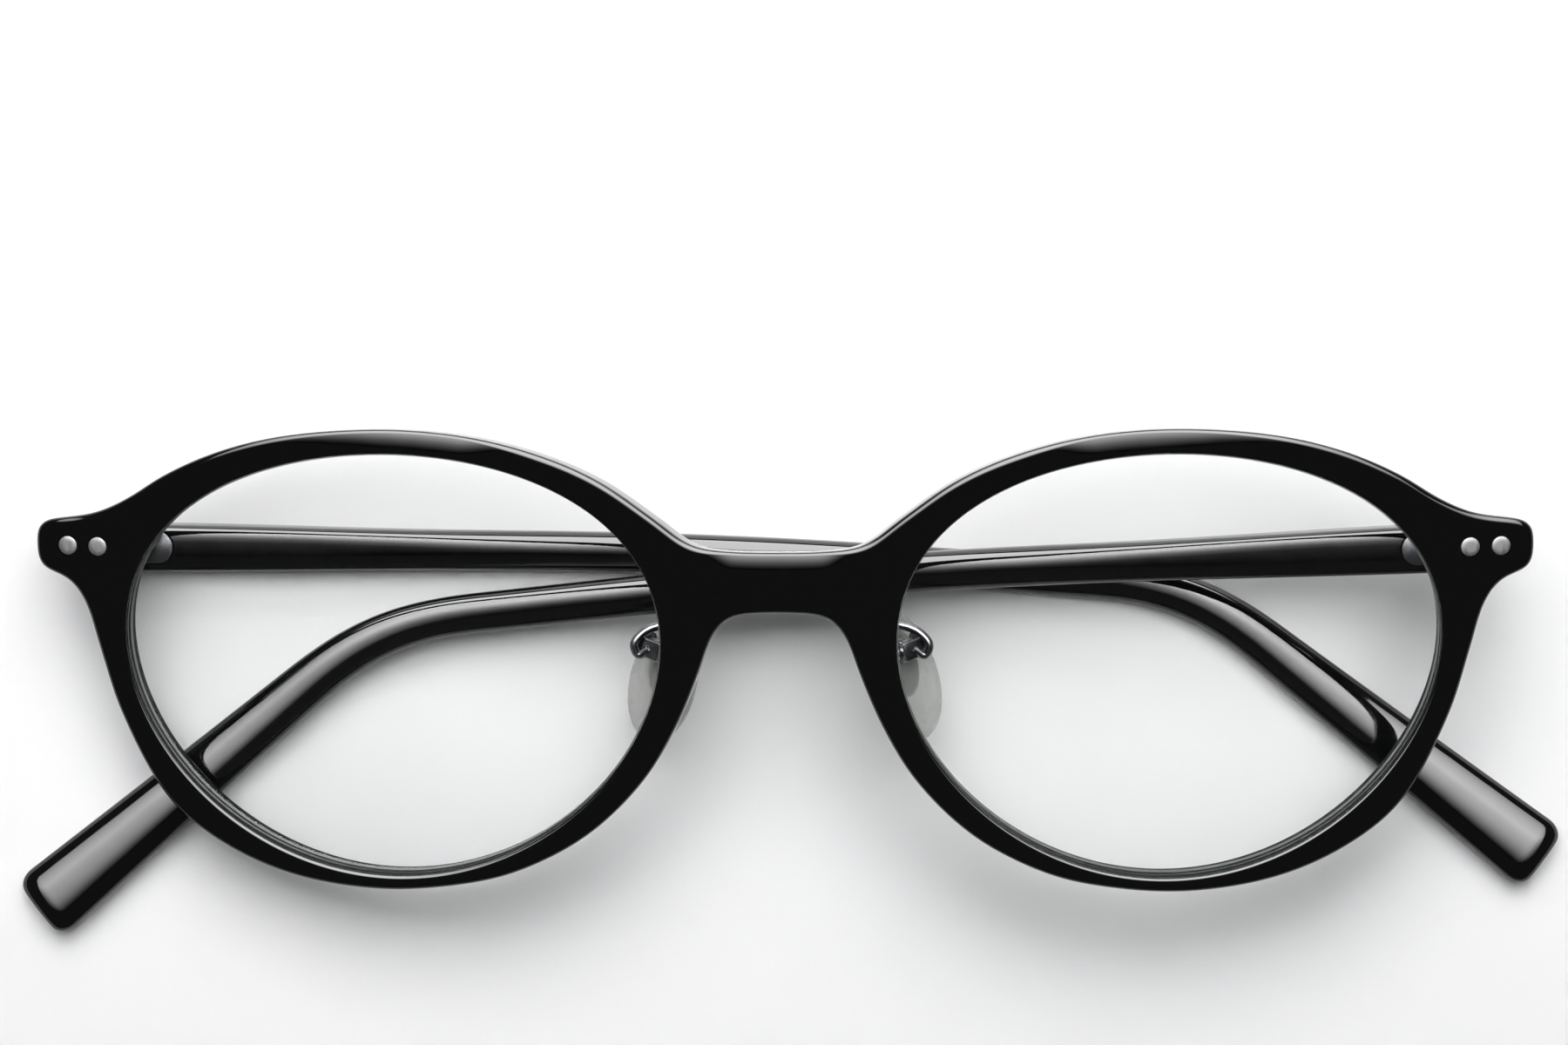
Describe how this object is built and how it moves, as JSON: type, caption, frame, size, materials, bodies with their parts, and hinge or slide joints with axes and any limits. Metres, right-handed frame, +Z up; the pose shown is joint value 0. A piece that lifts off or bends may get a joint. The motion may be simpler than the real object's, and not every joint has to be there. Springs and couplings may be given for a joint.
{
  "type": "eyeglasses",
  "caption": "Folded full-rim eyeglasses with a thick oval plastic front, clear lenses, adjustable nose pads on metal arms and two hinged temples with curved tips.",
  "frame": {"origin": "centre of the bounding box in plan, on the table plane under the folded glasses", "axes": "+X from the wearer's right end piece to the left one, +Y from the nose pads up to the brow, +Z up, out of the front face"},
  "size_m": [0.1476, 0.048, 0.0236],
  "materials": {
    "acetate": "polished black acetate",
    "lens_glass": "clear, coated",
    "rivet_steel": "satin",
    "screw_steel": "polished",
    "hinge_metal": "dark nickel",
    "arm_metal": "dark nickel",
    "core_wire_steel": "satin",
    "pad_silicone": "clear silicone",
    "pad_core_plastic": "clear plastic"
  },
  "bodies": {
    "front": {"front_frame": "acetate", "lens_right": "lens_glass", "front_hinge_leaf_right": "hinge_metal", "hinge_screw_right": "screw_steel", "front_rivet_right_inner": "rivet_steel", "front_rivet_right_outer": "rivet_steel", "pad_arm_right": "arm_metal", "pad_screw_right": "screw_steel", "lens_left": "lens_glass", "front_hinge_leaf_left": "hinge_metal", "hinge_screw_left": "screw_steel", "front_rivet_left_inner": "rivet_steel", "front_rivet_left_outer": "rivet_steel", "pad_arm_left": "arm_metal", "pad_screw_left": "screw_steel"},
    "temple_right": {"temple_right": "acetate", "temple_core_wire_right": "core_wire_steel", "temple_hinge_leaf_right": "hinge_metal", "temple_rivet_right_front": "rivet_steel", "temple_rivet_right_rear": "rivet_steel"},
    "temple_left": {"temple_left": "acetate", "temple_core_wire_left": "core_wire_steel", "temple_hinge_leaf_left": "hinge_metal", "temple_rivet_left_front": "rivet_steel", "temple_rivet_left_rear": "rivet_steel"},
    "nose_pad_right": {"nose_pad_right": "pad_silicone", "pad_core_right": "pad_core_plastic"},
    "nose_pad_left": {"nose_pad_left": "pad_silicone", "pad_core_left": "pad_core_plastic"}
  },
  "joints": [
    {"name": "temple_fold_right", "type": "hinge", "parent": "front", "child": "temple_right", "pos_m": [-0.06512, 0.01345, 0.00606], "axis": [0.0103, 0.9934, 0.1138], "range_deg": [0, 88.6]},
    {"name": "temple_fold_left", "type": "hinge", "parent": "front", "child": "temple_left", "pos_m": [0.06373, 0.01345, 0.01225], "axis": [0.0499, -0.9926, -0.1108], "range_deg": [0, 91.7]},
    {"name": "nose_pad_rock_right", "type": "hinge", "parent": "front", "child": "nose_pad_right", "pos_m": [-0.01271, 0.0034, 0.01094], "axis": [0.8142, -0.3193, 0.4849], "range_deg": [-6, 6]},
    {"name": "nose_pad_rock_left", "type": "hinge", "parent": "front", "child": "nose_pad_left", "pos_m": [0.01111, 0.0034, 0.01208], "axis": [-0.8569, -0.3193, 0.4046], "range_deg": [-6, 6]}
  ]
}
